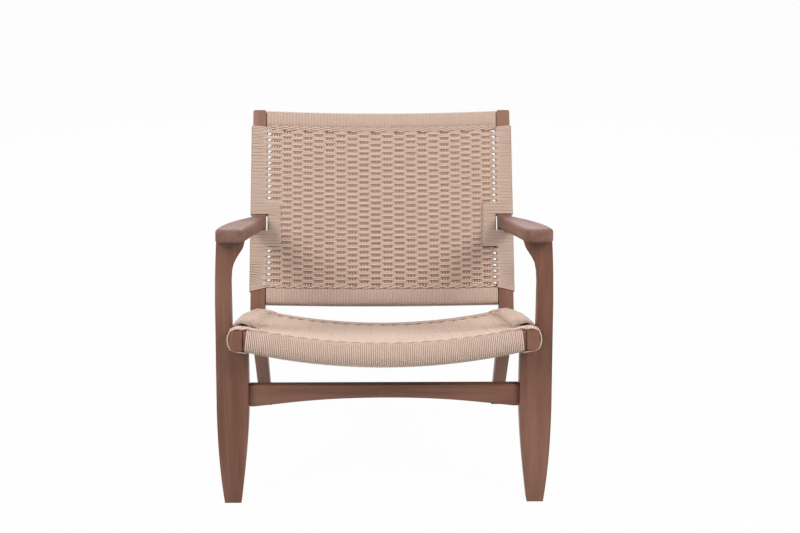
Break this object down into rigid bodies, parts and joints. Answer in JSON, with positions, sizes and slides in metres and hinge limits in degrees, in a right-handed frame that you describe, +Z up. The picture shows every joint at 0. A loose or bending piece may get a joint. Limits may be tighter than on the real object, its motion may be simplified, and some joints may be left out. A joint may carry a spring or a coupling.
{
  "type": "wooden armchair",
  "caption": "Low wooden lounge armchair with a sloping woven paper-cord seat and back, flared front legs, an arched front stretcher and long rounded armrests.",
  "frame": {"origin": "on the floor, under the centre of the chair's bounding box", "axes": "+Z up, the chair faces -Y, +X to its right as seen from the front"},
  "size_m": [0.712, 0.7768, 0.7273],
  "materials": {
    "wood": "matt oiled hardwood, greyish brown, fine straight grain",
    "cord": "twisted kraft paper cord, pale pinkish beige, matt",
    "steel": "zinc-plated steel"
  },
  "bodies": {
    "root": {"front_leg_left": "wood", "front_leg_right": "wood", "rear_leg_left": "wood", "rear_leg_right": "wood", "seat_side_rail_left": "wood", "seat_side_rail_right": "wood", "seat_front_rail": "wood", "seat_rear_rail": "wood", "back_stile_left": "wood", "back_stile_right": "wood", "back_top_rail": "wood", "back_bottom_rail": "wood", "armrest_left": "wood", "armrest_right": "wood", "front_stretcher": "wood", "weaving_bar_left": "wood", "weaving_bar_right": "wood", "rear_leg_dowels": "wood", "stile_dowels": "wood", "rail_screws": "steel", "bar_screws": "steel", "armrest_bolts": "steel", "armrest_barrel_nuts": "steel", "seat_front_wrap": "cord", "seat_rear_wrap": "cord", "seat_left_wrap": "cord", "seat_right_wrap": "cord", "seat_left_corner_wrap": "cord", "seat_right_corner_wrap": "cord", "seat_panel": "cord", "back_top_wrap": "cord", "back_bottom_wrap": "cord", "back_left_upper_wrap": "cord", "back_right_upper_wrap": "cord", "back_left_lower_wrap": "cord", "back_right_lower_wrap": "cord", "bar_left_wrap": "cord", "bar_right_wrap": "cord", "back_panel": "cord"}
  },
  "joints": []
}
